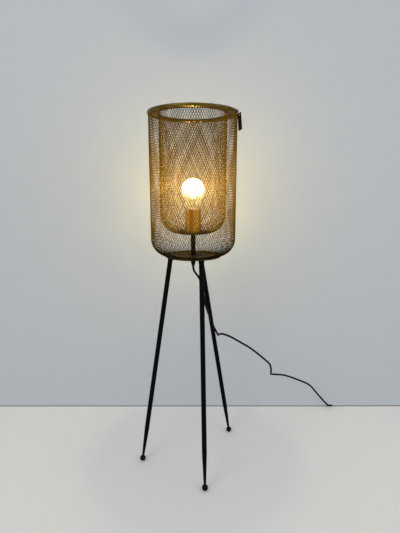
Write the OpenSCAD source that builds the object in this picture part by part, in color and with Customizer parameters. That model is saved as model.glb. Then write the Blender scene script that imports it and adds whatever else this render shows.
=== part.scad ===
// Tripod lamp with a double wire-mesh basket shade, an open-topped inner basket
// round a clear screw-in bulb, three splayed tube legs on ball feet and a mains lead.
// Millimetres, +Z up. The origin is on the table under the middle of the shade;
// -Y is the side that faces the viewer.

/* [Shade] */
// Height of the rim's top edge above the table
total_h = 960; // [900:5:1000]
// Radius of the outer basket's straight wall
outer_r = 111; // [108:0.5:116]
// Distance from the inner basket's straight wall out to the outer basket's
basket_gap = 25.5; // [21:0.5:29]
// Radius of the inner basket's rounded bottom corner
inner_corner = 50; // [42:1:54]
// Height of the inner basket's floor above the base plate
inner_lift = 59; // [52:0.5:68]
// Thickness of both mesh baskets
mesh_t = 0.8; // [0.6:0.1:1.2]
// Number of openings round each basket, a coarse stand-in for the fine mesh
mesh_columns = 12; // [8:2:12]
// Width of the bars between the openings
mesh_bar = 9; // [6:0.5:11]
// Thickness of the round rim rod
rim_d = 8; // [6:0.5:9]
// Thickness of the flat ring that joins the two baskets at the top
ring_t = 1.5; // [1:0.25:2.5]
// Thickness of the wire behind the inner basket's top edge
inner_wire_d = 1.6; // [1.2:0.2:2.4]

/* [Base] */
// Height of the base plate's underside above the table
base_h = 595.5; // [560:0.5:620]
// Radius of the base plate
base_r = 74.5; // [71:0.5:80]
// Width of the plate's edge outside the outer basket's flat floor
seat_edge = 9; // [6:0.5:12]
// Width of the outer basket's flat floor on the plate
floor_lip = 9; // [7:0.5:12]
// Thickness of the base plate
base_t = 2.5; // [2:0.5:4]
// Thickness of the wire that holds the outer basket down on the plate
foot_wire_d = 3; // [2:0.5:4]

/* [Legs] */
// Outer diameter of a leg tube
leg_d = 12.8; // [11:0.2:14]
// Wall of a leg tube
leg_wall = 1.1; // [0.8:0.1:1.6]
// Diameter of a leg's tapered lower end
leg_tip_d = 6.6; // [6:0.2:8]
// Length of the tapered lower end
leg_taper = 84; // [60:2:110]
// Distance of each leg's top from the middle of the base plate
leg_top_r = 60; // [54:1:64]
// Distance of each foot from the middle of the lamp
foot_spread = 151; // [140:1:170]
// Bearing of the front leg's top
front_top = -69; // [-72:1:-64]
// Bearing of the front foot
front_foot = -78; // [-84:1:-70]
// Bearing of the right leg's top
right_top = 72; // [66:1:76]
// Bearing of the right foot
right_foot = 42; // [36:1:50]
// Bearing of the left leg's top
left_top = 186; // [180:1:190]
// Bearing of the left foot
left_foot = 193; // [186:1:198]
// Diameter of a ball foot
ball_d = 16; // [14:0.5:20]
// Depth of the flat that a ball foot stands on
ball_flat = 0.5; // [0.3:0.1:0.8]
// Length of the pin that a leg's tip has inside the ball foot
foot_pin_l = 3; // [2:0.5:4]
// Diameter of the threaded boss under the base plate
boss_d = 14.8; // [13:0.2:16]
// Length of the threaded boss
boss_l = 9; // [7:0.5:12]
// Diameter of the stud in a leg's top
stud_d = 8; // [6:0.5:8]

/* [Stem] */
// Outer diameter of the threaded pipe
pipe_d = 10; // [9:0.5:11]
// Bore of the threaded pipe
pipe_bore = 6.8; // [6.4:0.1:7.4]
// Outer diameter of the black sleeve over the pipe
sleeve_d = 12.6; // [12:0.2:15]
// Diameter of the washer plate that carries the lamp holder
holder_washer_d = 48; // [42:1:56]
// Thickness of the washers
washer_t = 1.2; // [1:0.1:2]
// Height of the pipe nut
nut_h = 4; // [3:0.5:6]
// Width of the pipe nut across its corners
nut_d = 16.2; // [14.5:0.2:18]

/* [Lamp holder] */
// Outer diameter of the lamp holder's cup
cup_d = 40.8; // [38:0.2:44]
// Height of the lamp holder's cup
cup_h = 59.8; // [56:0.2:64]
// Depth of the screw socket above the ceramic core
socket_depth = 25; // [23:0.5:27]
// Wall of the lamp holder's cup
cup_wall = 1.2; // [1:0.1:1.6]

/* [Bulb] */
// Largest diameter of the bulb
bulb_d = 60; // [55:1:65]
// Whole length of the bulb with its cap
bulb_l = 104; // [100:1:110]
// Diameter of the bulb's screw cap over the threads
cap_d = 26.4; // [26:0.1:26.6]
// Length of the bulb's screw cap with its end contact
cap_l = 27; // [25:0.5:28]
// Wall of the glass
glass_t = 0.8; // [0.6:0.1:1]
// Length of a filament
filament_l = 38; // [30:1:42]
// Distance of the filaments from the bulb's axis
filament_r = 9; // [7:0.5:11]
// Diameter of a filament
filament_d = 1.8; // [1.4:0.1:2.4]

/* [Lead] */
// Diameter of the mains lead
cord_d = 6; // [5.6:0.1:6]
// Length of the tapered grip under the base plate
grip_l = 20; // [20:0.5:24]
// Diameter of the grip's collar
grip_d = 12.4; // [12:0.2:14]
// Radius of the coil's outermost turn
coil_r = 38.5; // [36:0.5:42]
// Width of the strap that ties the coil
tie_w = 8; // [6:0.5:12]
// Thickness of the strap
tie_t = 0.8; // [0.6:0.1:0.9]

/* [Switch and plug] */
// Length of the switch housing
switch_l = 64; // [60:1:68]
// Width of the switch housing
switch_w = 27; // [26:0.5:30]
// Height of the switch housing
switch_h = 18; // [17:0.5:20]
// Angle between the rocker's two positions
rocker_throw = 14; // [10:1:16]
// Length of the plug's body
plug_l = 36; // [34:0.5:40]
// Width of the plug's body
plug_w = 35; // [33:0.5:37]
// Thickness of the plug's body
plug_t = 13.6; // [12.6:0.2:13.6]
// Diameter of a plug pin
pin_d = 4; // [4:0.1:4.8]
// Length of a plug pin outside the body
pin_l = 19; // [18:0.5:20]
// Distance between the plug's pins
pin_gap = 18.6; // [18:0.1:19.2]

/* [Hang tag] */
// Height of the card tag
tag_h = 40; // [36:1:46]
// Width of the card tag
tag_w = 25; // [22:1:26]
// Thickness of the card
tag_t = 0.5; // [0.4:0.1:0.7]
// Bearing at which the tag hangs on the rim
tag_bearing = -18; // [-22:1:-14]
// Turn of the card about its hole
tag_turn = 32; // [28:1:34]
// How far the card leans out from the shade, in degrees
tag_lean = 5; // [3:0.5:6]
// Diameter of the wire hook that carries the tag
hook_d = 0.9; // [0.7:0.1:1]

/* [Hidden] */
$fn = 96;
// Running clearance between pieces that fit inside each other
fit = 0.1;
// Air left between pieces that hang or stand beside each other
air = 0.3;
// How far a cut runs past the face it opens
over = 1;

base_top = base_h + base_t;
// Middle of the rim rod; the outer basket's wall runs up into a groove in it
rim_mid = outer_r - mesh_t / 2;
rim_out = rim_mid + rim_d / 2;
rim_z = total_h - rim_d / 2;
wall_top = rim_z - rim_d / 2 + 2.5;
// The outer basket's corner ends where its flat floor rests on the plate
outer_corner = outer_r - base_r + seat_edge;
lip_in = base_r - seat_edge - floor_lip;

inner_r = outer_r - basket_gap;
inner_z = base_top + inner_lift;
ring_in = inner_r - mesh_t;
ring_z = rim_z - ring_t / 2;
ring_out = rim_mid - rim_d / 2 + 1.2;

plate_bore = pipe_d / 2 + fit;
sleeve_top = inner_z - washer_t;
holder_z = inner_z + mesh_t + washer_t + 0.2;
pipe_top = holder_z + 9;
pipe_bottom = base_h - washer_t - nut_h - 9;

cup_top = holder_z + cup_h;
core_seat = holder_z + cup_wall;
core_floor = core_seat + 12;
core_top = cup_top - socket_depth;
contact_h = 2;
core_r = cup_d / 2 - cup_wall - fit;
thread_r = cap_d / 2 + 0.4;
thread_t = 0.5;
wire_x = 10;
core_wire_d = 1.8;
leaf_t = 0.5;

// The bulb stands with its tip just clear of the holder's centre contact
tip_z = core_top + contact_h;
cap_z = tip_z + 3;
cap_top = tip_z + cap_l;
bulb_r = bulb_d / 2;
bulb_top = tip_z + bulb_l;
bulb_mid = bulb_top - bulb_r;
neck_r = cap_d / 2 + 0.2;
neck_z = cap_top - 3;
filament_z = bulb_mid - 20;

grip_top = base_h - washer_t - nut_h;
grip_z = grip_top - grip_l;

card_top = total_h - rim_d - 0.5;
eye_z = card_top - 4;
eye_r = 2;
hook_z = eye_z + eye_r - hook_d / 2 - air;
hook_out = rim_out + hook_d / 2 + air;
hook_in = rim_mid - rim_d / 2 - hook_d / 2 - air;
hook_end = ring_z + ring_t + hook_d / 2 + air;
tag_r = hook_out + hook_d / 2 + tag_t + 1.9;

// The coil of spare lead: its middle, the height of its lower layer, the bearing
// where it starts, its turns in and out again, and the step between turns and layers
cord_r = cord_d / 2;
coil_x = 504;
coil_y = 305;
coil_z = cord_r + tie_t + 0.2;
coil_start = -20;
coil_turns = 3.25;
coil_step = cord_d + 0.6;

// The switch and the plug lie on the table beyond the coil
switch_x = 404;
switch_y = 356;
gland_l = 10;
split_z = 8;
switch_end = switch_x + switch_l / 2 + gland_l;
switch_start = switch_x - switch_l / 2 - gland_l;
plug_x = 286;
plug_y = 354;
plug_z = plug_t / 2;
tail_l = 14;
plug_end = plug_x + tail_l;

// Inside the switch: wall, place of the screws, and the rocker between its cheeks
switch_wall = 1.6;
screw_x = 22;
rocker_z = switch_h - 5;
rocker_l = 19;
rocker_w = 11.6;
cheek = 1.5;
cheek_y = rocker_w / 2 + air;
pin_r = 1;
turning_fit = 0.06;

// The lead leaves the grip straight down, hangs across behind the front leg and
// past the right leg, and comes down to the table behind the lamp on its right.
// At its two sharp turns it runs back, away from the viewer.
drop_route = [
    [0, 0, grip_z], [0, 0, grip_z - cord_d], [2, 1, 556], [7, 3, 547],
    [14, 6, 537], [20, 9, 523], [24, 12, 504], [29, 16, 480],
    [34, 20, 454], [42, 24, 427], [50, 28, 402], [60, 32, 379],
    [68, 38, 362], [72, 48, 352], [75, 60, 349], [83, 70, 347],
    [96, 77, 341], [115, 84, 330], [141, 94, 311], [169, 103, 291],
    [197, 112, 267], [236, 125, 229], [245, 130, 214], [249, 135, 197],
    [250, 143, 183], [253, 154, 173], [263, 165, 167], [279, 173, 162],
    [300, 179, 157], [325, 187, 146], [356, 196, 130], [388, 206, 112],
    [406, 212, 97], [423, 218, 76], [459, 232, 31], [477, 239, 11],
    [486, 243, 5], [500, 250, 3.2], [522, 266, 3.2],
    coil_end_at(0, -2 * cord_d), coil_end_at(0, -cord_d)];

// The short leads from the coil into the switch, and from the switch to the plug
to_switch_route = [
    coil_end_at(coil_turns, cord_d), coil_end_at(coil_turns, 2 * cord_d),
    [495, 349.5, 10.4], [479, 353.5, 9.6], [464, 355.6, 8.6],
    [switch_end + cord_d, switch_y, split_z], [switch_end, switch_y, split_z]];
to_plug_route = [
    [switch_start, switch_y, split_z], [switch_start - cord_d, switch_y, split_z],
    [344, 355.5, 6.6], [330, 354.5, 5.2], [316, 354, 5.6],
    [plug_end + cord_d, plug_y, plug_z], [plug_end, plug_y, plug_z]];

// Middle of the coil's tube after a number of turns: it spirals in on the lower
// layer, climbs in the half turn where it reverses, and spirals out on top.
function coil_rise(t) = t < -0.25 ? 0 : t > 0.25 ? 1 : (1 + sin(360 * t)) / 2;
function coil_at(turn) =
    let (middle = coil_turns / 2,
         angle = coil_start + 360 * turn,
         radius = coil_r - coil_step * min(turn, coil_turns - turn))
    [coil_x + radius * cos(angle), coil_y + radius * sin(angle),
     coil_z + coil_step * coil_rise(turn - middle)];

// A point straight out along the tube from one of the coil's ends
function coil_end_at(turn, reach) =
    let (angle = coil_start + 360 * turn)
    coil_at(turn) + reach * [-sin(angle), cos(angle), 0];

function unit(v) = v / norm(v);
function last(list) = len(list) - 1;
// A smooth curve through four neighbouring points, from the second to the third
function between(a, b, c, d, t) =
    0.5 * ((2 * b) + (c - a) * t + (2 * a - 5 * b + 4 * c - d) * t * t
    + (3 * b - a - 3 * c + d) * t * t * t);
function smooth_route(p, steps) = [
    for (i = [0 : last(p) - 1], s = [0 : steps - 1])
        let (a = i == 0 ? 2 * p[0] - p[1] : p[i - 1],
             d = i == last(p) - 1 ? 2 * p[last(p)] - p[i] : p[i + 2])
        between(a, p[i], p[i + 1], d, s / steps),
    p[last(p)]];
function heading(p, i) =
    i == 0 ? unit(p[1] - p[0])
    : i == last(p) ? unit(p[i] - p[i - 1])
    : unit(unit(p[i + 1] - p[i]) + unit(p[i] - p[i - 1]));
function ring_points(p, i, side, r, sides) =
    let (t = heading(p, i), b = unit(cross(t, side)), n = cross(b, t))
    [for (k = [0 : sides - 1]) let (a = 360 * (k + 0.5) / sides) p[i] + r * (cos(a) * n + sin(a) * b)];
function ring_faces(rings, sides) = [
    for (i = [0 : rings - 2], k = [0 : sides - 1])
        let (j = (k + 1) % sides, a = i * sides + k, b = i * sides + j)
        each [[a, b, b + sides], [a, b + sides, a + sides]]];

// One unbroken tube along a list of points; side is a direction never along the tube
module swept_tube(p, side, r, sides) {
    rings = len(p);
    points = [for (i = [0 : rings - 1]) each ring_points(p, i, side, r, sides)];
    first_end = [for (k = [1 : sides - 2]) [0, k + 1, k]];
    far_end = [for (k = [1 : sides - 2]) [0, k, k + 1] + [1, 1, 1] * (rings - 1) * sides];
    polyhedron(points, concat(first_end, ring_faces(rings, sides), far_end), convexity = 10);
}

// The coil's tube, with a straight end one diameter long at each side
coil_points = concat(
    [coil_end_at(0, -cord_d)],
    [for (i = [0 : 24 * coil_turns]) coil_at(i / 24)],
    [coil_end_at(coil_turns, cord_d)]);
coil_gap = min([for (i = [0 : last(coil_points)], j = [0 : last(coil_points)])
    if (j > i + 12) norm(coil_points[i] - coil_points[j])]) - cord_d;
echo(least_gap_between_the_coil_turns = coil_gap);

module tube(r_out, r_in, h) {
    difference() {
        cylinder(r = r_out, h = h);
        translate([0, 0, -1]) cylinder(r = r_in, h = h + 2);
    }
}

module rounded_rect(w, h, r) {
    translate([r, 0]) square([w - 2 * r, h]);
    translate([0, r]) square([w, h - 2 * r]);
    for (x = [r, w - r], y = [r, h - r]) translate([x, y]) circle(r = r, $fn = 32);
}

// Puts its children on a leg: their +Z runs from the top of the leg down to the foot
function top_point(bearing) = [leg_top_r * cos(bearing), leg_top_r * sin(bearing), base_h];
function foot_point(bearing) =
    [foot_spread * cos(bearing), foot_spread * sin(bearing), ball_d / 2 - ball_flat];
function leg_length(top, foot) = norm(foot_point(foot) - top_point(top));
module on_leg(top, foot) {
    way = foot_point(foot) - top_point(top);
    translate(top_point(top))
        rotate([0, acos(way.z / norm(way)), atan2(way.y, way.x)]) children();
}

module base_plate() {
    color("#4a3f1e") translate([0, 0, base_h]) tube(base_r, plate_bore, base_t);
}

// The boss starts above the plate's underside and is cut level with it
module leg_boss(top, foot) {
    rise = boss_d / 3;
    difference() {
        on_leg(top, foot) translate([0, 0, -rise]) tube(boss_d / 2, stud_d / 2 + fit, boss_l + rise);
        translate(top_point(top)) cylinder(r = boss_d, h = boss_d);
    }
}

module leg_bosses() {
    color("#151515") {
        leg_boss(front_top, front_foot);
        leg_boss(right_top, right_foot);
        leg_boss(left_top, left_foot);
    }
}

// How far down its axis a leg ends, a little way inside the ball foot
tip_sink = ball_d / 32;
foot_pin_r = leg_tip_d / 2 - leg_wall / 4;
function leg_tip(top, foot) = leg_length(top, foot) - ball_d / 2 + tip_sink;

// A leg: a tube, its tapered end and the pin that enters the ball foot
module leg(top, foot) {
    tip = leg_tip(top, foot);
    taper_top = tip - leg_taper;
    tube_l = taper_top - boss_l;
    color("#101010") on_leg(top, foot) {
        difference() {
            translate([0, 0, boss_l]) cylinder(r = leg_d / 2, h = tube_l);
            translate([0, 0, boss_l - over]) cylinder(r = leg_d / 2 - leg_wall, h = tube_l - leg_wall);
        }
        translate([0, 0, taper_top]) cylinder(r1 = leg_d / 2, r2 = leg_tip_d / 2, h = leg_taper);
        translate([0, 0, tip]) cylinder(r = foot_pin_r, h = foot_pin_l);
    }
}

module leg_front() { leg(front_top, front_foot); }
module leg_right() { leg(right_top, right_foot); }
module leg_left() { leg(left_top, left_foot); }

// The stud and the plug that holds it in the tube's top
module leg_stud(top, foot) {
    stud_top = 0.3 * stud_d;
    plug_l = 2 * stud_d;
    on_leg(top, foot) {
        translate([0, 0, stud_top]) cylinder(r = stud_d / 2, h = boss_l + plug_l - stud_top);
        translate([0, 0, boss_l]) cylinder(r = leg_d / 2 - leg_wall - fit, h = plug_l);
    }
}

module leg_studs() {
    color("silver") {
        leg_stud(front_top, front_foot);
        leg_stud(right_top, right_foot);
        leg_stud(left_top, left_foot);
    }
}

module foot(top, foot) {
    tip = leg_tip(top, foot);
    color("#101010") difference() {
        translate(foot_point(foot)) sphere(r = ball_d / 2);
        translate(foot_point(foot) - [ball_d, ball_d, 2 * ball_d - ball_flat + ball_d / 2])
            cube([2 * ball_d, 2 * ball_d, 2 * ball_d]);
        on_leg(top, foot) {
            translate([0, 0, tip - ball_d]) cylinder(r = leg_tip_d / 2 + 2 * fit, h = ball_d + fit);
            translate([0, 0, tip - ball_d]) cylinder(r = foot_pin_r + fit, h = ball_d + foot_pin_l + air);
        }
    }
}

module foot_front() { foot(front_top, front_foot); }
module foot_right() { foot(right_top, right_foot); }
module foot_left() { foot(left_top, left_foot); }

// Half outline of a basket's floor: rounded corner and flat middle
module basket_outline(r, corner, floor_z, floor_in) {
    translate([r - corner, floor_z + corner]) intersection() {
        difference() {
            circle(r = corner);
            circle(r = corner - mesh_t);
        }
        translate([0, -corner]) square([corner, corner]);
    }
    translate([floor_in, floor_z]) square([r - corner - floor_in, mesh_t]);
}

// A ring of openings as far apart as the bars are wide; the children are the
// half outline of one column of openings
module round_openings(r) {
    step = 360 / mesh_columns;
    bar = 2 * asin(mesh_bar / 2 / r);
    for (i = [0 : mesh_columns - 1]) rotate([0, 0, step * i + bar / 2])
        rotate_extrude(angle = step - bar) children();
}

// Half outlines of the openings in a straight wall and in a rounded corner
module wall_openings(r, low, high) {
    rows = round((high - low) * mesh_columns / (2 * PI * r));
    row_h = (high - low - mesh_bar) / rows;
    for (i = [0 : rows - 1]) translate([r - mesh_t - over, low + mesh_bar + row_h * i])
        square([mesh_t + 2 * over, row_h - mesh_bar]);
}

module corner_opening(r, corner, floor_z) {
    bar = 2 * asin(mesh_bar / 2 / corner);
    far = 2 * corner;
    translate([r - corner, floor_z + corner]) intersection() {
        difference() {
            circle(r = corner + over);
            circle(r = corner - mesh_t - over);
        }
        polygon([[0, 0], far * [sin(bar), -cos(bar)], far * [1, -1], far * [cos(bar), -sin(bar)]]);
    }
}

// Every second strip of a basket's straight wall, each one column of openings wide.
// The strips between them are another node that meets these face to face.
module wall_strips(first, r, low, high) {
    step = 360 / mesh_columns;
    bar = 2 * asin(mesh_bar / 2 / r);
    for (i = [first : 2 : mesh_columns - 1]) rotate([0, 0, step * i]) difference() {
        rotate_extrude(angle = step) translate([r - mesh_t, low]) square([mesh_t, high - low]);
        rotate([0, 0, bar / 2]) rotate_extrude(angle = step - bar)
            wall_openings(r, low - mesh_bar / 2, high - mesh_bar / 2);
    }
}

// The rounded floor that a basket's wall stands on
module basket_floor(r, corner, floor_z, floor_in) {
    difference() {
        rotate_extrude() basket_outline(r, corner, floor_z, floor_in);
        round_openings(r) corner_opening(r, corner, floor_z);
    }
}

module outer_basket() {
    color("#8a6a2e") wall_strips(0, outer_r, base_top + outer_corner, wall_top);
}

module outer_basket_between() {
    color("#8a6a2e") wall_strips(1, outer_r, base_top + outer_corner, wall_top);
}

module outer_basket_floor() {
    color("#8a6a2e") basket_floor(outer_r, outer_corner, base_top, lip_in);
}

module basket_foot_wire() {
    color("#5c4a20") rotate_extrude()
        translate([lip_in + foot_wire_d / 2, base_top + mesh_t + foot_wire_d / 2])
            circle(r = foot_wire_d / 2, $fn = 32);
}

module rim_rod() {
    color("#8f6f33") rotate_extrude() difference() {
        translate([rim_mid, rim_z]) circle(r = rim_d / 2, $fn = 48);
        translate([rim_mid - mesh_t / 2 - fit, rim_z - rim_d])
            square([mesh_t + 2 * fit, wall_top - rim_z + rim_d + fit]);
        translate([ring_in, ring_z - fit]) square([ring_out - ring_in + fit, ring_t + 2 * fit]);
    }
}

module top_ring() {
    color("#8f6f33") translate([0, 0, ring_z]) tube(ring_out, ring_in, ring_t);
}

module inner_basket() {
    color("#9a7633") wall_strips(0, inner_r, inner_z + inner_corner, ring_z);
}

module inner_basket_between() {
    color("#9a7633") wall_strips(1, inner_r, inner_z + inner_corner, ring_z);
}

module inner_floor() {
    color("#9a7633") basket_floor(inner_r, inner_corner, inner_z, plate_bore);
}

module inner_rim_wire() {
    color("#8f6f33") rotate_extrude()
        translate([inner_r + inner_wire_d / 2, ring_z - inner_wire_d / 2])
            circle(r = inner_wire_d / 2, $fn = 32);
}

module threaded_pipe() {
    color("#b5a26a") translate([0, 0, pipe_bottom])
        tube(pipe_d / 2, pipe_bore / 2, pipe_top - pipe_bottom);
}

module stem_sleeve() {
    color("#141414") translate([0, 0, base_top])
        tube(sleeve_d / 2, plate_bore, sleeve_top - base_top);
}

module base_washer() {
    color("#191919") translate([0, 0, base_h - washer_t]) tube(11, plate_bore, washer_t);
}

module pipe_nut() {
    color("#191919") translate([0, 0, grip_top]) difference() {
        cylinder(r = nut_d / 2, h = nut_h, $fn = 6);
        translate([0, 0, -1]) cylinder(r = plate_bore, h = nut_h + 2);
    }
}

module basket_washer() {
    color("#191919") translate([0, 0, sleeve_top]) tube(9, plate_bore, washer_t);
}

module holder_washer() {
    color("#7a6030") translate([0, 0, inner_z + mesh_t])
        tube(holder_washer_d / 2, plate_bore, holder_z - inner_z - mesh_t);
}

// The grip screws onto the pipe's lower end and tapers down to the lead
module cord_grip() {
    nose = grip_l - 10;
    color("#101010") difference() {
        union() {
            translate([0, 0, grip_z + nose]) cylinder(r = grip_d / 2, h = grip_l - nose);
            translate([0, 0, grip_z]) cylinder(r1 = cord_r + 1.2, r2 = grip_d / 2 - 0.8, h = nose);
        }
        translate([0, 0, pipe_bottom]) cylinder(r = plate_bore, h = 20);
        translate([0, 0, grip_z - 1]) cylinder(r = cord_r + fit, h = grip_l);
    }
}

module pipe_cord() {
    color("#1c1c1c") translate([0, 0, grip_z]) cylinder(r = cord_r, h = pipe_top - 4 - grip_z);
}

// The two cores, from the end of the sheath to the contacts in the holder
module core_wires() {
    bend_z = pipe_top + 1.2;
    color("#7a4a24") for (side = [-1, 1]) {
        translate([side * 1.2, 0, pipe_top - 4]) cylinder(r = core_wire_d / 2, h = bend_z - pipe_top + 4);
        translate([side * 1.2, 0, bend_z]) sphere(r = core_wire_d / 2);
        translate([side * 1.2, 0, bend_z]) rotate([0, side * 90, 0])
            cylinder(r = core_wire_d / 2, h = wire_x - 1.2);
        translate([side * wire_x, 0, bend_z]) sphere(r = core_wire_d / 2);
        translate([side * wire_x, 0, bend_z]) cylinder(r = core_wire_d / 2, h = core_top - bend_z);
    }
}

module holder_cup() {
    lip = thread_r + thread_t + 1.2;
    color("#9c7a35") difference() {
        translate([0, 0, holder_z]) cylinder(r = cup_d / 2, h = cup_h);
        translate([0, 0, core_seat]) cylinder(r = cup_d / 2 - cup_wall, h = cup_h - 2 * cup_wall);
        translate([0, 0, holder_z - 1]) cylinder(r = plate_bore, h = cup_h);
        translate([0, 0, cup_top - 4]) cylinder(r = lip, h = 8);
    }
}

// The ceramic block inside the cup: hollow below for the wires, flat on top
module holder_core() {
    color("#e8e2d4") difference() {
        translate([0, 0, core_seat]) cylinder(r = core_r, h = core_top - core_seat);
        translate([0, 0, core_seat - 1]) cylinder(r = core_r - 3, h = core_floor - core_seat + 1);
        for (side = [-1, 1]) translate([side * wire_x, 0, core_floor - 1])
            cylinder(r = core_wire_d / 2 + fit, h = core_top - core_floor + 2);
    }
}

// A thread drawn as rounded ridges, the same all the way round
module ridges(r, depth, pitch, count) {
    for (i = [0 : count - 1]) translate([r - depth, pitch * (i + 0.5)])
        circle(r = depth, $fn = 24);
}

module holder_thread() {
    height = cup_top - 2 - core_top;
    color("#c9a14a") translate([0, 0, core_top]) rotate_extrude() {
        translate([thread_r, 0]) square([thread_t, height]);
        translate([thread_r + 1.5, 0]) ridges(0, 0.7, 3.6, floor(height / 3.6));
    }
}

module centre_contact() {
    color("#c9a14a") {
        translate([-2.5, -2.5, core_top]) cube([wire_x + 4.5, 5, leaf_t]);
        translate([0, 0, core_top + leaf_t]) cylinder(r = 2.2, h = tip_z - core_top - leaf_t - 0.2);
    }
}

module side_contact() {
    reach = thread_r - 0.4;
    color("#c9a14a") {
        translate([-reach, -2, core_top]) cube([reach - wire_x + 3, 4, leaf_t]);
        translate([-reach, -2, core_top]) cube([leaf_t, 4, 2.4]);
    }
}

module contact_rivets() {
    color("#b08a3a") for (side = [-1, 1])
        translate([side * wire_x, 0, core_top + leaf_t]) cylinder(r = 1.6, h = 0.9);
}

module bulb_cap() {
    height = cap_top - cap_z;
    color("#b9b9b4") translate([0, 0, cap_z]) difference() {
        rotate_extrude() {
            square([cap_d / 2 - 0.6, height]);
            translate([cap_d / 2, 0]) ridges(0, 0.6, 3.6, floor(height / 3.6));
            translate([0, height - 1.5]) square([neck_r, 1.5]);
        }
        translate([0, 0, 1]) cylinder(r = cap_d / 2 - 1.4, h = height);
    }
}

module bulb_insulator() {
    color("#161616") translate([0, 0, tip_z + 1]) cylinder(r1 = 5.5, r2 = 10, h = cap_z - tip_z - 1);
}

module bulb_contact() {
    color("#b9b9b4") translate([0, 0, tip_z]) cylinder(r = 4, h = 1);
}

// Half outline of the glass: round above its widest place, a smooth neck below
function glass_r(z, r, neck) =
    z >= bulb_mid ? sqrt(max(0, r * r - pow(z - bulb_mid, 2)))
    : neck + (r - neck) * (1 - cos(180 * (z - neck_z) / (bulb_mid - neck_z))) / 2;
function glass_line(inset) =
    let (r = bulb_r - inset, neck = neck_r - inset)
    concat([for (i = [0 : 13]) let (z = neck_z + (bulb_mid - neck_z) * i / 14) [glass_r(z, r, neck), z]],
           [for (i = [0 : 14]) let (a = 90 * i / 14) [r * cos(a), bulb_mid + r * sin(a)]]);

module bulb_glass() {
    outside = glass_line(0);
    inside = glass_line(glass_t);
    color("#fff3d6", 0.35) difference() {
        rotate_extrude() polygon(concat([[0, neck_z]], outside));
        rotate_extrude() polygon(concat([[0, neck_z]], inside));
        translate([0, 0, cap_z]) tube(neck_r + 2, cap_d / 2 - 1.6, cap_top - cap_z);
    }
}

// The glass foot inside the bulb and the rod that stands on it
module bulb_stem() {
    color("#e8efe8", 0.6) {
        translate([0, 0, cap_z + 1]) cylinder(r1 = cap_d / 2 - 2.4, r2 = 3.2, h = filament_z - 6 - cap_z);
        translate([0, 0, filament_z - 5]) cylinder(r = 1.5, h = filament_l + 9);
    }
}

module bulb_filaments() {
    color("#ffc15a") for (i = [0 : 3]) rotate([0, 0, 45 + 90 * i])
        translate([filament_r, 0, filament_z]) cylinder(r = filament_d / 2, h = filament_l);
}

module filament_wires() {
    wire = 0.3;
    color("#a8a8a8") for (i = [0 : 3], z = [filament_z - wire, filament_z + filament_l + wire])
        rotate([0, 0, 45 + 90 * i]) translate([1.5, 0, z]) rotate([0, 90, 0])
            cylinder(r = wire, h = filament_r - 1);
}

module cord_drop() {
    plane_side = unit([-0.507, 1, 0]);
    color("#111111") swept_tube(smooth_route(drop_route, 1), plane_side, cord_r, 8);
}

module cord_coil() {
    color("#111111") swept_tube(coil_points, [0, 0, 1], cord_r, 6);
}

// A flat strap round the coil's turns, lying on the table
module cord_tie() {
    in_r = coil_r - coil_step * coil_turns / 2 - cord_r - air;
    out_r = coil_r + cord_r + air;
    height = coil_z + coil_step + cord_r + air - tie_t;
    color("#1a1a1a") translate([coil_x, coil_y, 0]) rotate([0, 0, 200])
        translate([in_r - tie_t, tie_w / 2, 0]) rotate([90, 0, 0]) linear_extrude(tie_w) difference() {
            square([out_r - in_r + 2 * tie_t, height + 2 * tie_t]);
            translate([tie_t, tie_t]) square([out_r - in_r, height]);
        }
}

module cord_to_switch() {
    color("#111111") swept_tube(to_switch_route, [0, 0, 1], cord_r, 8);
}

module cord_to_plug() {
    color("#111111") swept_tube(to_plug_route, [0, 0, 1], cord_r, 8);
}

module at_switch(z) { translate([switch_x, switch_y, z]) children(); }

module switch_outline(inset) {
    translate([-switch_l / 2 + inset, -switch_w / 2 + inset])
        rounded_rect(switch_l - 2 * inset, switch_w - 2 * inset, 7 - inset);
}

module switch_base() {
    color("#141414") at_switch(0) difference() {
        union() {
            difference() {
                linear_extrude(split_z) switch_outline(0);
                translate([0, 0, switch_wall]) linear_extrude(split_z) switch_outline(switch_wall);
            }
            for (x = [-screw_x, screw_x]) translate([x, 0, switch_wall / 2])
                cylinder(r = 3, h = split_z - switch_wall / 2);
        }
        for (x = [-screw_x, screw_x]) {
            translate([x, 0, -1]) cylinder(r = 1.3, h = split_z + 2);
            translate([x, 0, -1]) cylinder(r = 2.5, h = 2.4);
        }
    }
}

module switch_cover() {
    height = switch_h - split_z;
    bore_half = cheek_y + cheek + 0.5;
    color("#141414") at_switch(split_z) difference() {
        union() {
            difference() {
                linear_extrude(height) switch_outline(0);
                translate([0, 0, -1]) linear_extrude(height + 1 - switch_wall)
                    switch_outline(switch_wall);
            }
            for (x = [-screw_x, screw_x]) translate([x, 0, 0]) cylinder(r = 3, h = height - switch_wall / 2);
            for (y = [cheek_y, -cheek_y - cheek]) translate([-3, y, rocker_z - split_z - 3])
                cube([6, cheek, switch_h - rocker_z + 3 - switch_wall / 2]);
        }
        translate([-rocker_l / 2 - 1.2, -cheek_y, 0]) cube([rocker_l + 2.4, 2 * cheek_y, 20]);
        for (x = [-screw_x, screw_x]) translate([x, 0, -1]) cylinder(r = 1.3, h = height - switch_wall);
        translate([0, bore_half, rocker_z - split_z]) rotate([90, 0, 0])
            cylinder(r = pin_r + 0.02, h = 2 * bore_half, $fn = 32);
    }
}

module switch_glands() {
    color("#101010") for (side = [-1, 1])
        at_switch(split_z) rotate([0, side * 90, 0]) translate([0, 0, switch_l / 2])
            cylinder(r1 = 5, r2 = cord_r + 0.8, h = gland_l);
}

module switch_contacts() {
    color("#c9a14a") for (x = [-12, 4])
        at_switch(switch_wall) {
            translate([x, -3, 0]) cube([8, 6, 0.6]);
            translate([x, -3, 0]) cube([0.6, 6, 5]);
        }
}

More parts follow.
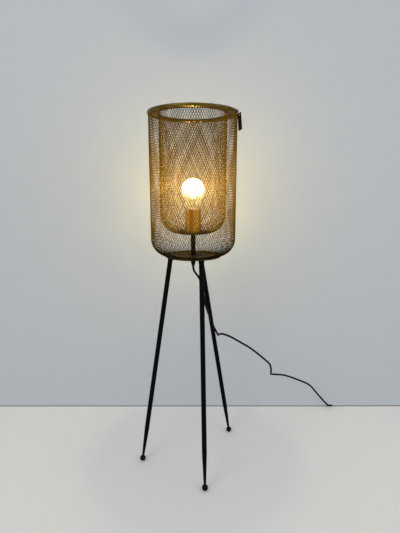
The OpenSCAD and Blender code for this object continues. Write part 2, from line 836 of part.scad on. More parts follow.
module switch_screws() {
    color("silver") for (x = [-screw_x, screw_x])
        at_switch(0) {
            translate([x, 0, 0.3]) cylinder(r = 2.3, h = 1.1);
            translate([x, 0, 0.3]) cylinder(r = 1.2, h = switch_h - 3);
        }
}

module rocker_pin() {
    pin_half = cheek_y + cheek;
    color("silver") at_switch(rocker_z) translate([0, pin_half, 0]) rotate([90, 0, 0])
        cylinder(r = pin_r, h = 2 * pin_half, $fn = 32);
}

// The rocker lies pressed down at its right end, which is its rest position
module switch_rocker() {
    color("#1d1d1d") at_switch(rocker_z) rotate([0, rocker_throw / 2, 0]) rotate([90, 0, 0]) difference() {
        translate([0, 0, -rocker_w / 2]) linear_extrude(rocker_w) polygon([
            [-rocker_l / 2, -2.4], [-rocker_l / 2, 5.4], [0, 4.2], [rocker_l / 2, 5.4],
            [rocker_l / 2, -2.4], [0, -3.4]]);
        translate([0, 0, -rocker_w]) cylinder(r = pin_r + turning_fit, h = 2 * rocker_w, $fn = 32);
    }
}

module plug_body() {
    waist = 14;
    color("#141414") {
        translate([plug_x, plug_y, 0]) linear_extrude(plug_t) polygon([
            [0, -waist / 2], [0, waist / 2], [-12, plug_w / 2], [-plug_l, plug_w / 2],
            [-plug_l, -plug_w / 2], [-12, -plug_w / 2]]);
        translate([plug_x, plug_y, plug_z]) rotate([0, 90, 0])
            cylinder(r1 = 5.6, r2 = cord_r + 0.6, h = tail_l);
    }
}

module on_pins() {
    for (side = [-1, 1]) translate([plug_x - plug_l, plug_y + side * pin_gap / 2, plug_z])
        rotate([0, -90, 0]) children();
}

module plug_pins() {
    sleeve = pin_l / 2;
    color("#c8b27a") on_pins() {
        cylinder(r = pin_d / 2 - 0.4, h = sleeve);
        translate([0, 0, sleeve]) cylinder(r = pin_d / 2, h = pin_l - sleeve - 1);
        translate([0, 0, pin_l - 1]) cylinder(r1 = pin_d / 2, r2 = pin_d / 2 - 0.8, h = 1);
    }
}

module pin_sleeves() {
    color("#161616") on_pins() tube(pin_d / 2, pin_d / 2 - 0.35, pin_l / 2);
}

// Puts its children at the middle of the card's hole, with +X out of the card's face
module at_card() {
    rotate([0, 0, tag_bearing]) translate([tag_r, 0, hook_z]) rotate([0, -tag_lean, 0])
        translate([0, 0, eye_z - hook_z]) rotate([0, 0, tag_turn]) children();
}

// A wire hook over the rim rod; its lower end passes through the tag's hole
module tag_hook() {
    r = hook_d / 2;
    top_z = total_h + r + air;
    color("#8a8a8a") rotate([0, 0, tag_bearing]) {
        for (p = [[hook_in, hook_end], [hook_in, top_z], [hook_out, top_z], [hook_out, hook_z]])
            translate([p.x, 0, p.y]) sphere(r = r, $fn = 24);
        translate([hook_in, 0, hook_end]) cylinder(r = r, h = top_z - hook_end, $fn = 24);
        translate([hook_in, 0, top_z]) rotate([0, 90, 0]) cylinder(r = r, h = hook_out - hook_in, $fn = 24);
        translate([hook_out, 0, hook_z]) cylinder(r = r, h = top_z - hook_z, $fn = 24);
        translate([hook_out, 0, hook_z]) rotate([0, 90, 0])
            cylinder(r = r, h = tag_r - hook_out + 2.5, $fn = 24);
    }
}

module hang_tag() {
    color("#17151a") at_card() difference() {
        translate([-tag_t / 2, -tag_w / 2, 4 - tag_h]) rotate([90, 0, 90])
            linear_extrude(tag_t) rounded_rect(tag_w, tag_h, 2);
        translate([-5, 0, 0]) rotate([0, 90, 0]) cylinder(r = eye_r + 0.6, h = 10, $fn = 32);
    }
}

module tag_eyelet() {
    eyelet_t = 0.7;
    color("#a08a50") at_card() rotate([0, 90, 0])
        translate([0, 0, -eyelet_t / 2]) difference() {
            cylinder(r = eye_r + 0.6, h = eyelet_t, $fn = 32);
            translate([0, 0, -1]) cylinder(r = eye_r, h = 3, $fn = 32);
        }
}

base_plate();
leg_bosses();
leg_front();
leg_right();
leg_left();
leg_studs();
foot_front();
foot_right();
foot_left();
outer_basket();
outer_basket_between();
outer_basket_floor();
basket_foot_wire();
rim_rod();
top_ring();
inner_basket();
inner_basket_between();
inner_floor();
inner_rim_wire();
threaded_pipe();
stem_sleeve();
base_washer();
pipe_nut();
basket_washer();
holder_washer();
cord_grip();
pipe_cord();
core_wires();
holder_cup();
holder_core();
holder_thread();
centre_contact();
side_contact();
contact_rivets();
bulb_cap();
bulb_insulator();
bulb_contact();
bulb_glass();
bulb_stem();
bulb_filaments();
filament_wires();
cord_drop();
cord_coil();
cord_tie();
cord_to_switch();
switch_base();
switch_cover();
switch_glands();
switch_contacts();
switch_screws();
rocker_pin();
switch_rocker();
cord_to_plug();
plug_body();
plug_pins();
pin_sleeves();
tag_hook();
hang_tag();
tag_eyelet();
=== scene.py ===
from math import cos, pi, radians, sin

import bmesh
import bpy
from mathutils import Matrix, Vector


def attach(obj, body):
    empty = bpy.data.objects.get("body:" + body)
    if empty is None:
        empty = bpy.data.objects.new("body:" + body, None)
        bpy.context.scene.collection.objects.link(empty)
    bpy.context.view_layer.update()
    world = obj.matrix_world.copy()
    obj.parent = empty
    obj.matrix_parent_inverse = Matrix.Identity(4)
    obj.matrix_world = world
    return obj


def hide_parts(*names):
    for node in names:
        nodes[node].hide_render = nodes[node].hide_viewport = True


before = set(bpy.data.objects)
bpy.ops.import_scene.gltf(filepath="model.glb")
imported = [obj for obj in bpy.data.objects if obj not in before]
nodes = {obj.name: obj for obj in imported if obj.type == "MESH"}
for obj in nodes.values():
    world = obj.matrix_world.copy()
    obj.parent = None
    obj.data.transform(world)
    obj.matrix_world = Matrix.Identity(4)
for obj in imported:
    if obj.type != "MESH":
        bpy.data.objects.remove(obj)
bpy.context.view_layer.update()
print("stage: CAD loaded")

# Lengths are metres, colours are sRGB, angles are degrees.


# An sRGB colour code as the linear colour that a shader takes
def linear(code):
    shades = [int(code[i : i + 2], 16) / 255 for i in (1, 3, 5)]
    return [c / 12.92 if c <= 0.04045 else ((c + 0.055) / 1.055) ** 2.4 for c in shades] + [1]


# One shader node. A value is a number, a colour or the socket that feeds it. Sockets
# that have no name of their own are called input0, input1 and so on.
def addNode(tree, kind, settings=(), **values):
    node = tree.nodes.new("ShaderNode" + kind)
    for name, value in dict(settings).items():
        setattr(node, name, value)
    for name, value in values.items():
        byPlace = name.startswith("input")
        socket = node.inputs[int(name[len("input"):]) if byPlace else name.replace("_", " ")]
        if isinstance(value, bpy.types.NodeSocket):
            tree.links.new(value, socket)
        else:
            socket.default_value = value
    return node


def newTree(name):
    material = bpy.data.materials.new(name)
    material.use_nodes = True
    material.node_tree.nodes.clear()
    return material, material.node_tree


# What all surfaces share: where the patches turn from one shade to the other, how far
# the gloss drifts with them, and how strongly the grain shows
surfaceValues = {
    "shadeStops": (0.36, 0.64),
    "glossStops": (0.3, 0.7),
    "glossDrift": 0.15,
    "bump": 0.6,
}


# A surface whose colour drifts between two shades over patchMm, whose gloss drifts
# with it, and whose fine grain of grainMm stands grainDepthMm high. With a foot it
# starts in a dark third colour at one height, a painted shade, and has its own colours
# from another height up. A stretch above 1 draws the patches out into upright streaks.
def surface(
    name, dark, light, rough, metal=0.0, patchMm=14, grainMm=0.6, grainDepthMm=0.01,
    foot=None, stretch=1.0, **extra,
):
    v = surfaceValues
    material, tree = newTree(name)
    place = addNode(tree, "TexCoord").outputs["Object"]
    drawn = addNode(tree, "Mapping", Vector=place, Scale=(1, 1, 1 / stretch)).outputs["Vector"]
    patches = addNode(tree, "TexNoise", Vector=drawn, Scale=1000 / patchMm, Detail=4.0)
    shades = addNode(tree, "ValToRGB", Fac=patches.outputs["Fac"])
    for stop, where, code in zip(shades.color_ramp.elements, v["shadeStops"], (dark, light)):
        stop.position = where
        stop.color = linear(code)
    colour = shades.outputs["Color"]
    if foot:
        height = addNode(tree, "SeparateXYZ", Vector=place).outputs["Z"]
        blend = addNode(
            tree, "MapRange", Value=height, From_Min=foot["low"], From_Max=foot["high"]
        )
        colour = addNode(
            tree, "MixRGB", Fac=blend.outputs["Result"],
            Color1=linear(foot["colour"]), Color2=colour,
        ).outputs["Color"]
    gloss = addNode(
        tree, "MapRange", Value=patches.outputs["Fac"],
        From_Min=v["glossStops"][0], From_Max=v["glossStops"][1],
        To_Min=rough * (1 - v["glossDrift"]), To_Max=min(1.0, rough * (1 + v["glossDrift"])),
    )
    grain = addNode(tree, "TexNoise", Vector=place, Scale=1000 / grainMm, Detail=2.0)
    bump = addNode(
        tree, "Bump", Height=grain.outputs["Fac"], Strength=v["bump"],
        Distance=grainDepthMm / 1000,
    )
    shader = addNode(
        tree, "BsdfPrincipled", Base_Color=colour, Metallic=metal,
        Roughness=gloss.outputs["Result"], Normal=bump.outputs["Normal"], **extra,
    )
    addNode(tree, "OutputMaterial", Surface=shader.outputs["BSDF"])
    return material


# Steel wire, welded crosswise and plated in antique brass, browner in patches. Nearly
# black at the bottom: painted shade on the lower corner and floor of each basket
wireFinish = {
    "rough": 0.7, "metal": 0.3, "patchMm": 30, "grainMm": 0.8,
    "Specular_IOR_Level": 0.08, "Specular_Tint": linear("#8a6c24"),
}
# Painted shade: the wires darken towards a nearly black colour from high down to low
outerPaintedShade = {"low": 0.607, "high": 0.655, "colour": "#0b0803"}
innerPaintedShade = {"low": 0.6595, "high": 0.6690, "colour": "#080602"}
outerWire = surface("outerWireAntiqueBrass", "#3a2d06", "#52400b", foot=outerPaintedShade, **wireFinish)
innerWire = surface("innerWireAntiqueBrass", "#362906", "#4c3b0c", foot=innerPaintedShade, **wireFinish)
# Pressed steel sheet and wire, plated in the same antique brass
trimBrass = surface(
    "trimAntiqueBrass", "#3a2e0f", "#4a3b14", rough=0.27, metal=0.8,
    patchMm=22, grainMm=0.7, Specular_IOR_Level=0.15,
)
# The same plating on the thick rod of the rim, painted paler: a painted highlight where the rod
# catches the light
rimHighlitBrass = surface(
    "rimPaintedHighlight", "#4c3d15", "#5e4c1c", rough=0.27, metal=0.8,
    patchMm=22, grainMm=0.7, Specular_IOR_Level=0.15,
)
# The same plating on the flat ring inside it and on the inner rim wire, painted darker and duller:
# painted shade
ringShadedBrass = surface(
    "ringPaintedShade", "#1f1809", "#29200c", rough=0.5, metal=0.45,
    patchMm=22, grainMm=0.7, Specular_IOR_Level=0.08,
)
# Pressed steel plate, painted dark olive bronze; black round its edge and below, a painted shade
# where the lamp's light does not reach
plateEdgeShade = {"low": 0.5972, "high": 0.5979, "colour": "#0b0905"}
olivePaint = surface(
    "plateOlivePaint", "#2c2106", "#3c2f09", rough=0.5, metal=0.15,
    patchMm=25, grainMm=0.5, grainDepthMm=0.012, foot=plateEdgeShade, Specular_IOR_Level=0.05,
)
# Welded steel tube, powder coated black in satin
powderCoat = surface(
    "powderCoatBlack", "#040405", "#08080a", rough=0.5,
    patchMm=18, grainMm=0.9, grainDepthMm=0.02, Specular_IOR_Level=0.03,
)
# Steel balls and turned pieces, wet painted black
blackPaint = surface(
    "paintBlackTurned", "#060607", "#0a0a0c", rough=0.4,
    patchMm=9, grainMm=0.5, Specular_IOR_Level=0.05,
)
# Zinc plated steel screws, studs and wire
zincSteel = surface(
    "zincPlatedSteel", "#8d9092", "#a9acae", rough=0.33, metal=1.0, patchMm=4, grainMm=0.3
)
# Turned and stamped brass, left bare
bareBrass = surface(
    "bareBrassTurned", "#a5803a", "#c49c50", rough=0.26, metal=1.0, patchMm=5, grainMm=0.3
)
# Deep-drawn brass cup, polished and lacquered; its upright light and dark streaks are painted
# reflections
cupReflectionBrass = surface(
    "drawnCupPaintedReflections", "#b8741a", "#f4c85c", rough=0.22, metal=1.0,
    patchMm=9, grainMm=0.5, grainDepthMm=0.006, stretch=40.0,
)
# Pressed and fired white porcelain with a clear glaze
porcelain = surface(
    "porcelainGlazed", "#dcd8cc", "#e8e4da", rough=0.18,
    patchMm=8, grainMm=0.4, grainDepthMm=0.004,
)
# Injection-moulded black plastic with a spark-eroded grain
mouldedBlack = surface(
    "mouldedPlasticBlack", "#0b0b0d", "#101113", rough=0.5,
    patchMm=7, grainMm=0.35, grainDepthMm=0.02, Specular_IOR_Level=0.2,
)
# Smooth black plastic of the rocker, glossier than the housing
glossBlack = surface(
    "rockerPlasticBlack", "#0c0d0e", "#131416", rough=0.25,
    patchMm=6, grainMm=0.4, grainDepthMm=0.004,
)
# Extruded PVC sheath of the lead, matt black
sheath = surface(
    "leadSheathPvc", "#070708", "#0c0c0e", rough=0.5,
    patchMm=10, grainMm=0.6, grainDepthMm=0.012, Specular_IOR_Level=0.06,
)
# Brown PVC insulation of a single core
coreSheath = surface(
    "coreInsulationBrown", "#4a2a16", "#5c3720", rough=0.45, patchMm=3, grainMm=0.3
)
# Rolled aluminium screw cap
capAluminium = surface(
    "capRolledAluminium", "#a4a5a2", "#bdbeba", rough=0.3, metal=1.0, patchMm=4, grainMm=0.3
)
# Uncoated black card, cut and punched
blackCard = surface(
    "tagBlackCard", "#060506", "#0a0809", rough=0.8,
    patchMm=6, grainMm=0.25, grainDepthMm=0.03, Specular_IOR_Level=0.03,
)

# Clear blown glass, a hair uneven in thickness. Cover is how much it hides, seen square
# on and at its edge. Its upper part glares as the lit bulb does, from glareLow to glareHigh.
glassValues = {
    "colour": "#4a4438",
    "rough": 0.02,
    "wavesMm": 1000 / 60,
    "waveDepthMm": 0.4,
    "cover": (0.03, 0.4),
    "glareLow": 0.745,
    "glareHigh": 0.770,
    "glare": 0.8,
    "glareColour": "#fff4d8",
}


def glassMaterial(name):
    v = glassValues
    material, tree = newTree(name)
    place = addNode(tree, "TexCoord").outputs["Object"]
    waves = addNode(tree, "TexNoise", Vector=place, Scale=1000 / v["wavesMm"], Detail=1.0)
    bump = addNode(
        tree, "Bump", Height=waves.outputs["Fac"], Strength=0.15,
        Distance=v["waveDepthMm"] / 1000,
    )
    facing = addNode(tree, "LayerWeight", Blend=0.25).outputs["Facing"]
    cover = addNode(
        tree, "MapRange", Value=facing, From_Min=0.2, From_Max=1.0,
        To_Min=v["cover"][0], To_Max=v["cover"][1],
    )
    shader = addNode(
        tree, "BsdfPrincipled", Base_Color=linear(v["colour"]), Roughness=v["rough"], IOR=1.46,
        Alpha=cover.outputs["Result"], Normal=bump.outputs["Normal"],
    )
    height = addNode(tree, "SeparateXYZ", Vector=place).outputs["Z"]
    glare = addNode(
        tree, "MapRange", {"interpolation_type": "SMOOTHSTEP"}, Value=height,
        From_Min=v["glareLow"], From_Max=v["glareHigh"], To_Min=0.0, To_Max=v["glare"],
    )
    light = addNode(
        tree, "Emission", Color=linear(v["glareColour"]), Strength=glare.outputs["Result"]
    )
    both = addNode(
        tree, "AddShader", input0=shader.outputs["BSDF"], input1=light.outputs["Emission"]
    )
    addNode(tree, "OutputMaterial", Surface=both.outputs["Shader"])
    return material


# Filament sticks in a yellow phosphor coat that glows, and the coat's two shades of light
glowValues = {
    "colour": "#e8a850",
    "shades": ("#ffb45c", "#ffd894"),
    "patchMm": 1000 / 220,
    "strength": 60.0,
}


def glowMaterial(name):
    v = glowValues
    material, tree = newTree(name)
    place = addNode(tree, "TexCoord").outputs["Object"]
    patches = addNode(tree, "TexNoise", Vector=place, Scale=1000 / v["patchMm"], Detail=2.0)
    shades = addNode(tree, "ValToRGB", Fac=patches.outputs["Fac"])
    for stop, where, code in zip(shades.color_ramp.elements, (0.3, 0.7), v["shades"]):
        stop.position = where
        stop.color = linear(code)
    shader = addNode(
        tree, "BsdfPrincipled", Base_Color=linear(v["colour"]), Roughness=0.5,
        Emission_Color=shades.outputs["Color"], Emission_Strength=v["strength"],
    )
    addNode(tree, "OutputMaterial", Surface=shader.outputs["BSDF"])
    return material


clearGlass = glassMaterial("bulbClearGlass")
glow = glowMaterial("filamentGlow")


# Gives CAD nodes their material
def dress(material, *names):
    for name in names:
        mesh = nodes[name].data
        mesh.materials.clear()
        mesh.materials.append(material)


dress(rimHighlitBrass, "rim_rod")
dress(ringShadedBrass, "top_ring", "inner_rim_wire")
dress(trimBrass, "basket_foot_wire")
dress(olivePaint, "base_plate", "holder_washer")
dress(powderCoat, "leg_front", "leg_right", "leg_left", "leg_bosses", "stem_sleeve")
dress(blackPaint, "foot_front", "foot_right", "foot_left", "base_washer", "pipe_nut")
dress(blackPaint, "basket_washer", "tag_hook")
dress(zincSteel, "leg_studs", "switch_screws", "rocker_pin", "filament_wires")
dress(bareBrass, "threaded_pipe", "holder_thread", "centre_contact", "side_contact")
dress(bareBrass, "contact_rivets", "switch_contacts", "plug_pins", "tag_eyelet")
dress(cupReflectionBrass, "holder_cup")
dress(porcelain, "holder_core")
dress(mouldedBlack, "bulb_insulator", "cord_tie", "switch_base", "switch_cover")
dress(mouldedBlack, "switch_glands", "plug_body", "pin_sleeves")
dress(glossBlack, "switch_rocker")
dress(sheath, "cord_grip", "pipe_cord", "cord_drop", "cord_coil", "cord_to_switch")
dress(sheath, "cord_to_plug")
dress(coreSheath, "core_wires")
dress(capAluminium, "bulb_cap", "bulb_contact")
dress(clearGlass, "bulb_glass", "bulb_stem")
dress(glow, "bulb_filaments")
dress(outerWire, "outer_basket", "outer_basket_between", "outer_basket_floor")
dress(innerWire, "inner_basket", "inner_basket_between", "inner_floor")
dress(blackCard, "hang_tag")
print("stage: materials")

# The camera stands where the photograph's did, and looks slightly down.
cameraValues = {
    "place": (0.0159, -1.0173, 0.7758),
    "pitch": 11.61,
    "yaw": -0.13,
    "roll": 0.06,
    "lens": 26.0,
    "sensor": 36.0,
    "clipStart": 0.01,
}
camera = bpy.data.objects.new("camera", bpy.data.cameras.new("camera"))
camera.data.lens = cameraValues["lens"]
camera.data.sensor_width = cameraValues["sensor"]
camera.data.clip_start = cameraValues["clipStart"]
camera.matrix_world = (
    Matrix.Translation(cameraValues["place"])
    @ Matrix.Rotation(radians(cameraValues["yaw"]), 4, "Z")
    @ Matrix.Rotation(radians(90 - cameraValues["pitch"]), 4, "X")
    @ Matrix.Rotation(radians(cameraValues["roll"]), 4, "Z")
)
bpy.context.scene.collection.objects.link(camera)
bpy.context.scene.camera = camera


# Adds a mesh object that rides on a body, and hides the CAD nodes that it stands for
def addPiece(name, bm, material, body, stands=()):
    mesh = bpy.data.meshes.new(name)
    bm.to_mesh(mesh)
    bm.free()
    mesh.materials.append(material)
    piece = bpy.data.objects.new(name, mesh)
    bpy.context.scene.collection.objects.link(piece)
    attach(piece, body)
    if stands:
        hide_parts(*stands)
    return piece


def smoothFaces(bm):
    for face in bm.faces:
        face.smooth = True


# Smooth shading that stops at edges which turn by more than a number of degrees
def smoothUnder(bm, limit):
    smoothFaces(bm)
    for edge in bm.edges:
        edge.smooth = len(edge.link_faces) == 2 and edge.calc_face_angle() < radians(limit)


# A closed outline of radius and height pairs, turned round the axis. The edge that is
# left out is counted from the first pair.
def turnOutline(line, steps, leftOut=None):
    bm = bmesh.new()
    verts = [bm.verts.new((r, 0, z)) for r, z in line]
    edges = [bm.edges.new(pair) for pair in zip(verts, verts[1:] + verts[:1])]
    if leftOut is not None:
        edges.pop(leftOut)
    bmesh.ops.spin(bm, geom=edges, axis=(0, 0, 1), angle=2 * pi, steps=steps, use_merge=True)
    return bm


# How far the edges of the moulded and pressed pieces are rounded off, and which ones:
# facets that turn by less than flat become one face, and edges that turn by more than
# sharp are rounded
edgeRounding = {
    "switch_base": 0.0008,
    "switch_cover": 0.0009,
    "switch_rocker": 0.0005,
    "plug_body": 0.0014,
    "cord_tie": 0.0002,
    "base_plate": 0.0005,
    "flat": 2,
    "sharp": 32,
    "shadedUnder": 40,
    "doubles": 1e-6,
}


# Stands a copy of a CAD piece with rounded edges in that piece's place
def roundEdges(node, name, body):
    v = edgeRounding
    bm = bmesh.new()
    bm.from_mesh(nodes[node].data)
    bmesh.ops.remove_doubles(bm, verts=bm.verts, dist=v["doubles"])
    bmesh.ops.dissolve_limit(bm, angle_limit=radians(v["flat"]), verts=bm.verts, edges=bm.edges)
    sharp = [
        edge for edge in bm.edges
        if len(edge.link_faces) == 2 and edge.calc_face_angle() > radians(v["sharp"])
    ]
    bmesh.ops.bevel(
        bm, geom=sharp, offset=v[node], segments=2, profile=0.5,
        affect="EDGES", material=-1, clamp_overlap=True,
    )
    bmesh.ops.triangulate(bm, faces=bm.faces)
    bmesh.ops.recalc_face_normals(bm, faces=bm.faces)
    bm.normal_update()
    smoothUnder(bm, v["shadedUnder"])
    return addPiece(name, bm, nodes[node].data.materials[0], body, [node])


roundEdges("switch_base", "switchBase", "lamp")
roundEdges("switch_cover", "switchCover", "lamp")
roundEdges("switch_rocker", "switchRocker", "rocker")
roundEdges("plug_body", "plugBody", "lamp")
roundEdges("cord_tie", "coilStrap", "lamp")
roundEdges("base_plate", "basePlate", "lamp")

# The lead: the same points as the CAD route, in metres
leadValues = {"diameter": 0.006, "length": 1.82, "smoothSteps": 4, "roundness": 4}
coilValues = {
    "x": 0.504,
    "y": 0.305,
    "z": 0.004,
    "start": -20,
    "turns": 3.25,
    "stepsPerTurn": 24,
    "radius": 0.0385,
    "step": 0.0066,
}
dropRoute = [
    (0, 0, 0.5703), (0, 0, 0.5643), (0.002, 0.001, 0.556), (0.007, 0.003, 0.547),
    (0.014, 0.006, 0.537), (0.020, 0.009, 0.523), (0.024, 0.012, 0.504), (0.029, 0.016, 0.480),
    (0.034, 0.020, 0.454), (0.042, 0.024, 0.427), (0.050, 0.028, 0.402), (0.060, 0.032, 0.379),
    (0.068, 0.038, 0.362), (0.072, 0.048, 0.352), (0.075, 0.060, 0.349), (0.083, 0.070, 0.347),
    (0.096, 0.077, 0.341), (0.115, 0.084, 0.330), (0.141, 0.094, 0.311), (0.169, 0.103, 0.291),
    (0.197, 0.112, 0.267), (0.236, 0.125, 0.229), (0.245, 0.130, 0.214), (0.249, 0.135, 0.197),
    (0.250, 0.143, 0.183), (0.253, 0.154, 0.173), (0.263, 0.165, 0.167), (0.279, 0.173, 0.162),
    (0.300, 0.179, 0.157), (0.325, 0.187, 0.146), (0.356, 0.196, 0.130), (0.388, 0.206, 0.112),
    (0.406, 0.212, 0.097), (0.423, 0.218, 0.076), (0.459, 0.232, 0.031), (0.477, 0.239, 0.011),
    (0.486, 0.243, 0.005), (0.500, 0.250, 0.0032), (0.522, 0.266, 0.0032),
]
toSwitchRoute = [
    (0.495, 0.3495, 0.0104), (0.479, 0.3535, 0.0096), (0.464, 0.3556, 0.0086),
    (0.452, 0.356, 0.008), (0.446, 0.356, 0.008), (0.404, 0.356, 0.008), (0.362, 0.356, 0.008),
    (0.356, 0.356, 0.008), (0.344, 0.3555, 0.0066), (0.330, 0.3545, 0.0052),
    (0.316, 0.354, 0.0056), (0.306, 0.354, 0.0068), (0.300, 0.354, 0.0068),
]


# Middle of the coil after a number of turns: in on the lower layer, out on the upper,
# with the way up spread over the half turn in the middle
def coilPoint(turn):
    v = coilValues
    t = turn - v["turns"] / 2
    rise = 0 if t < -0.25 else 1 if t > 0.25 else (1 + sin(2 * pi * t)) / 2
    angle = radians(v["start"]) + 2 * pi * turn
    radius = v["radius"] - v["step"] * min(turn, v["turns"] - turn)
    x, y = v["x"] + radius * cos(angle), v["y"] + radius * sin(angle)
    return Vector((x, y, v["z"] + v["step"] * rise))


# A point straight out along the lead from one of the coil's ends
def coilTangent(turn, reach):
    angle = radians(coilValues["start"]) + 2 * pi * turn
    return coilPoint(turn) + Vector((-sin(angle), cos(angle), 0)) * reach


# A smooth line through points, with a number of steps between each pair
def smoothLine(points, steps):
    points = [Vector(p) for p in points]
    line = []
    for i in range(len(points) - 1):
        b, c = points[i], points[i + 1]
        a = points[i - 1] if i else 2 * b - c
        d = points[i + 2] if i + 2 < len(points) else 2 * c - b
        for s in range(steps):
            t = s / steps
            line.append(
                0.5 * (2 * b + (c - a) * t + (2 * a - 5 * b + 4 * c - d) * t**2
                + (3 * b - a - 3 * c + d) * t**3)
            )
    return line + [points[-1]]


# A round tube along points; a roundness of 0 gives it four sides
def addTubeCurve(name, points, radius, roundness):
    curve = bpy.data.curves.new(name, "CURVE")
    curve.dimensions = "3D"
    curve.bevel_depth = radius
    curve.bevel_resolution = roundness
    curve.use_fill_caps = True
    spline = curve.splines.new("POLY")
    spline.points.add(len(points) - 1)
    for point, place in zip(spline.points, points):
        point.co = (*place, 1)
    tube = bpy.data.objects.new(name, curve)
    bpy.context.scene.collection.objects.link(tube)
    return tube


steps = leadValues["smoothSteps"]
coilTurns = coilValues["turns"]
perTurn = coilValues["stepsPerTurn"]
thick = leadValues["diameter"]
leadLine = smoothLine(dropRoute + [coilTangent(0, -2 * thick), coilTangent(0, -thick)], steps)
leadLine += [coilPoint(i / perTurn) for i in range(round(perTurn * coilTurns) + 1)]
leadLine += smoothLine(
    [coilTangent(coilTurns, thick), coilTangent(coilTurns, 2 * thick)] + toSwitchRoute, steps
)
print("lead length", sum((b - a).length for a, b in zip(leadLine, leadLine[1:])))
lead = addTubeCurve("mainsLead", leadLine, thick / 2, leadValues["roundness"])
lead.data.splines[0].use_smooth = True
lead.data.materials.append(sheath)
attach(lead, "lamp")
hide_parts("cord_drop", "cord_coil", "cord_to_switch", "cord_to_plug")
print("stage: lead")


# The grip that holds the lead under the plate: a collar on the pipe and a ribbed nose.
# Each rib drops to its foot, stays there and comes out again at shares of its own height,
# and the nose's radius falls off by the power of its taper.
gripValues = {
    "collar": 0.0062,
    "noseEnd": 0.0043,
    "taper": 1.6,
    "ribs": 4,
    "ribDepth": 0.0004,
    "ribShares": (0.2, 0.45, 0.6),
    "leadBore": 0.0031,
    "pipeBore": 0.0051,
    "topZ": 0.5903,
    "pipeEndZ": 0.5813,
    "noseTopZ": 0.5803,
    "noseEndZ": 0.5703,
    "steps": 48,
    "shadedUnder": 50,
}


def makeGrip():
    v = gripValues
    rise = (v["noseTopZ"] - v["noseEndZ"]) / v["ribs"]
    line = [(v["pipeBore"], v["topZ"]), (v["collar"], v["topZ"])]
    for i in range(v["ribs"]):
        high = v["noseTopZ"] - rise * i
        radius = v["collar"] + (v["noseEnd"] - v["collar"]) * (i / v["ribs"]) ** v["taper"]
        footStart, footEnd, ribEnd = [high - rise * share for share in v["ribShares"]]
        line += [(radius, high), (radius - v["ribDepth"], footStart)]
        line += [(radius - v["ribDepth"], footEnd), (radius, ribEnd)]
    line += [(v["noseEnd"], v["noseEndZ"]), (v["leadBore"], v["noseEndZ"])]
    line += [(v["leadBore"], v["pipeEndZ"]), (v["pipeBore"], v["pipeEndZ"])]
    bm = turnOutline(line, v["steps"])
    bmesh.ops.recalc_face_normals(bm, faces=bm.faces)
    smoothUnder(bm, v["shadedUnder"])
    return addPiece("leadGrip", bm, sheath, "lamp", ["cord_grip"])


makeGrip()


# Both baskets: wires of two slants, welded where they cross. MeshHeight is how far down
# a wire runs while it passes one neighbour, and step is the length of one piece of it.
outerBasket = {
    "strands": 118,
    "wallRadius": 0.1106,
    "corner": 0.0451,
    "floorZ": 0.5984,
    "topZ": 0.9543,
    "floorEdge": 0.0577,
    "meshHeight": 0.0128,
    "step": 0.0064,
    "wire": 0.0010,
    "layerGap": 0.0005,
}
innerBasket = {
    "strands": 92,
    "wallRadius": 0.0851,
    "corner": 0.0496,
    "floorZ": 0.6574,
    "topZ": 0.9550,
    "floorEdge": 0.0220,
    "shortEdge": 0.0358,
    "meshHeight": 0.0128,
    "step": 0.0064,
    "wire": 0.0010,
    "layerGap": 0.0005,
}


# Half outline of a basket from its rim down the wall, round the corner and inwards
def basketLine(v, end):
    wall, corner, step = v["wallRadius"], v["corner"], v["step"]
    cornerZ = v["floorZ"] + corner
    rows = round((v["topZ"] - cornerZ) / step)
    line = [(wall, v["topZ"] + (cornerZ - v["topZ"]) * i / rows) for i in range(rows)]
    arcSteps = round(corner * pi / 2 / step)
    for i in range(arcSteps + 1):
        angle = pi / 2 * i / arcSteps
        line.append((wall - corner + corner * cos(angle), cornerZ - corner * sin(angle)))
    reach = wall - corner - end
    floorSteps = max(1, round(reach / step))
    for i in range(1, floorSteps + 1):
        line.append((wall - corner - reach * i / floorSteps, v["floorZ"]))
    return line


# One wire that winds down the basket, as a mesh tube added to bm
def addStrand(bm, v, side, end, turn):
    line = basketLine(v, end)
    twist = 2 * pi / v["strands"] / v["meshHeight"]
    points, run, before = [], 0.0, line[0]
    for r, z in line:
        run += (Vector((r, z)) - Vector(before)).length
        before = (r, z)
        angle = side * twist * run + turn
        out = r + side * v["layerGap"] / 2
        points.append((out * cos(angle), out * sin(angle), z))
    tube = addTubeCurve("strand", points, v["wire"] / 2, 0)
    bpy.context.view_layer.update()
    shape = tube.evaluated_get(bpy.context.evaluated_depsgraph_get())
    bm.from_mesh(shape.to_mesh())
    shape.to_mesh_clear()
    bpy.data.objects.remove(tube)


# The whole basket: one wire of each slant, turned about the axis again and again.
# Every second wire of the inner basket stops at the floor's outer edge.
def makeBasket(name, v, ends, material, stands):
    whole = bmesh.new()
    count = v["strands"] // len(ends)
    for side in (1, -1):
        for place, end in enumerate(ends):
            bm = bmesh.new()
            addStrand(bm, v, side, end, 2 * pi * place / v["strands"])
            bmesh.ops.spin(
                bm, geom=bm.verts[:] + bm.edges[:] + bm.faces[:], axis=(0, 0, 1),
                angle=2 * pi * (count - 1) / count, steps=count - 1, use_duplicate=True,
            )
            part = bpy.data.meshes.new("part")
            bm.to_mesh(part)
            bm.free()
            whole.from_mesh(part)
            bpy.data.meshes.remove(part)
    bmesh.ops.recalc_face_normals(whole, faces=whole.faces)
    smoothFaces(whole)
    print("stage:", name, len(whole.faces), "faces")
    return addPiece(name, whole, material, "lamp", stands)


makeBasket(
    "outerMesh", outerBasket, [outerBasket["floorEdge"]], outerWire,
    ["outer_basket", "outer_basket_between", "outer_basket_floor"],
)
makeBasket(
    "innerMesh", innerBasket, [innerBasket["floorEdge"], innerBasket["shortEdge"]], innerWire,
    ["inner_basket", "inner_basket_between", "inner_floor"],
)


# The level wire on which every second wire of the inner basket ends
floorWireValues = {"radius": 0.0011, "sides": 10, "steps": 72}


